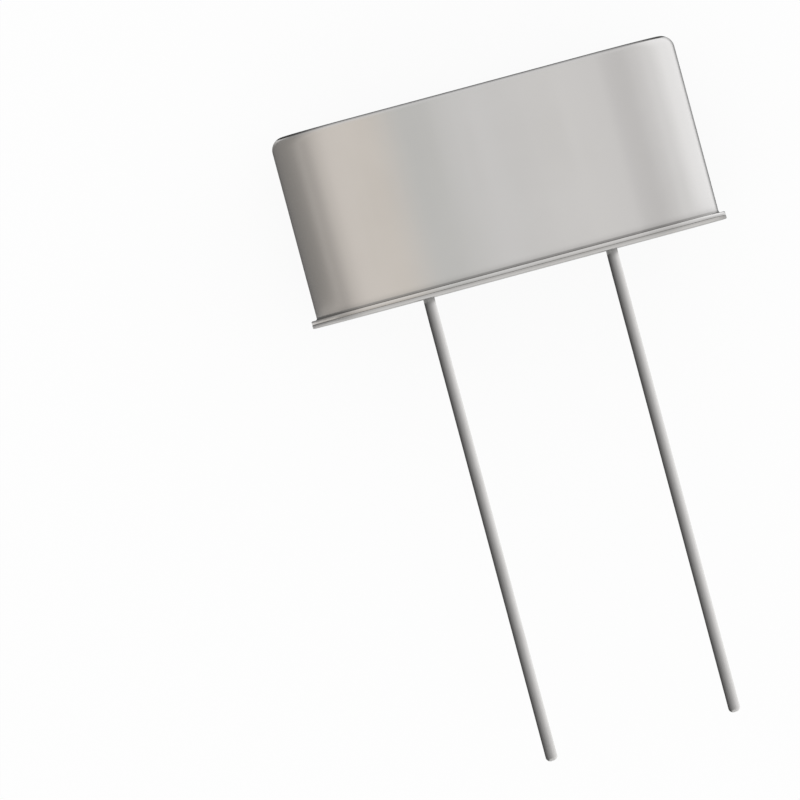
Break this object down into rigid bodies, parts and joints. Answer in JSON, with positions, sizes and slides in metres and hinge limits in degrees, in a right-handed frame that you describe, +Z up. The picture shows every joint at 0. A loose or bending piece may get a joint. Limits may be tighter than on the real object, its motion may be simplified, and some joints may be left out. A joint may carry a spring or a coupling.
{
  "type": "crystal oscillator",
  "caption": "Low obround metal case on a flanged base, with straight wire leads through glass seals, and a quartz strip held in spring clips inside.",
  "frame": {"origin": "centre of the seating plane, which is the flat underside of the base, midway between the leads", "axes": "the unit lies on its broad side: X along the case and across the leads, +Y from the seating plane to the top of the case with the leads running to -Y, +Z up through the case's thickness"},
  "size_m": [0.011, 0.0174, 0.0046],
  "materials": {
    "case": "satin",
    "base": "satin",
    "lead": "satin",
    "seal_glass": "gloss",
    "clip": "satin",
    "quartz": "polished",
    "silver_film": "satin",
    "silver_epoxy": "matte"
  },
  "bodies": {
    "root": {"case_cover": "case", "header_base": "base", "lead_left": "lead", "lead_right": "lead", "glass_seal_left": "seal_glass", "glass_seal_right": "seal_glass", "blank_clip_left": "clip", "blank_clip_right": "clip", "quartz_blank": "quartz", "electrode_front": "silver_film", "electrode_back": "silver_film", "adhesive_left": "silver_epoxy", "adhesive_right": "silver_epoxy"}
  },
  "joints": []
}
